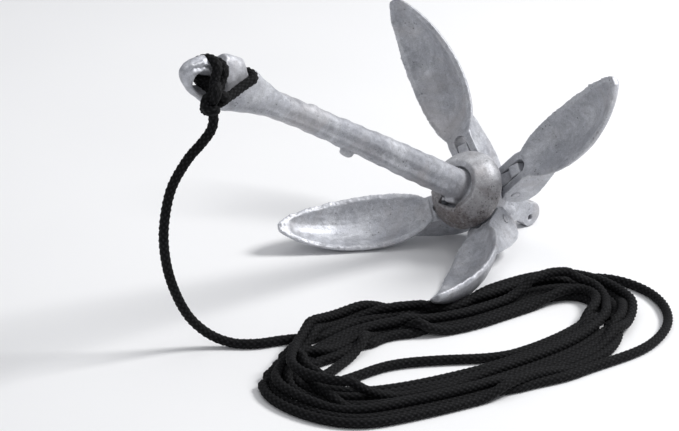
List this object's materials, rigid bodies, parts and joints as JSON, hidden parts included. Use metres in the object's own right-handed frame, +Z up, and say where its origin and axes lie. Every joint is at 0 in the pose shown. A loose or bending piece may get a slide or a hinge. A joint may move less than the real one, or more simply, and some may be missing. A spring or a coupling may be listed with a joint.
{
  "type": "folding grapnel boat anchor",
  "caption": "Small-boat grapnel anchor with folding spoon flukes on riveted hinges, a sliding dome collar that locks them, and a rope tied through the shank eye.",
  "frame": {"origin": "the floor under the middle of the bounding box, with the anchor lying at rest on two flukes and its crown", "axes": "+Z up from the floor; +Y from the rope coil's side towards the anchor's crown; the shank's eye rises towards -X and -Y"},
  "size_m": [0.2816, 0.3142, 0.1667],
  "materials": {
    "galvanised_iron": "satin",
    "galvanised_collar": "satin",
    "rivet_steel": "satin",
    "black_rope": "matte"
  },
  "bodies": {
    "shank": {"shank": "galvanised_iron", "pin_right": "rivet_steel", "pin_top": "rivet_steel", "pin_left": "rivet_steel", "pin_bottom": "rivet_steel", "anchor_rope": "black_rope"},
    "lock_collar": {"lock_collar": "galvanised_collar"},
    "fluke_right": {"fluke_right": "galvanised_iron"},
    "fluke_top": {"fluke_top": "galvanised_iron"},
    "fluke_left": {"fluke_left": "galvanised_iron"},
    "fluke_bottom": {"fluke_bottom": "galvanised_iron"}
  },
  "joints": [
    {"name": "collar_slide", "type": "slide", "parent": "shank", "child": "lock_collar", "axis": [-0.61, -0.6208, 0.4924], "range_m": [0, 0.118]},
    {"name": "fluke_right_hinge", "type": "hinge", "parent": "shank", "child": "fluke_right", "pos_m": [0.0521, 0.08678, 0.03911], "axis": [0.2603, -0.744, -0.6154], "range_deg": [0, 65.6]},
    {"name": "fluke_top_hinge", "type": "hinge", "parent": "shank", "child": "fluke_top", "pos_m": [0.03323, 0.10531, 0.03911], "axis": [0.7484, -0.2473, 0.6154], "range_deg": [0, 65.6]},
    {"name": "fluke_left_hinge", "type": "hinge", "parent": "shank", "child": "fluke_left", "pos_m": [0.02411, 0.09602, 0.01609], "axis": [-0.2603, 0.744, 0.6154], "range_deg": [0, 37.7]},
    {"name": "fluke_bottom_hinge", "type": "hinge", "parent": "shank", "child": "fluke_bottom", "pos_m": [0.04297, 0.07749, 0.01609], "axis": [-0.7484, 0.2473, -0.6154], "range_deg": [0, 37.7]}
  ],
  "couplings": [
    {"joint": "fluke_right_hinge", "follows": "collar_slide", "rad_per_m": 9.6881},
    {"joint": "fluke_top_hinge", "follows": "collar_slide", "rad_per_m": 9.6881},
    {"joint": "fluke_left_hinge", "follows": "collar_slide", "rad_per_m": 5.5614},
    {"joint": "fluke_bottom_hinge", "follows": "collar_slide", "rad_per_m": 5.5614}
  ]
}
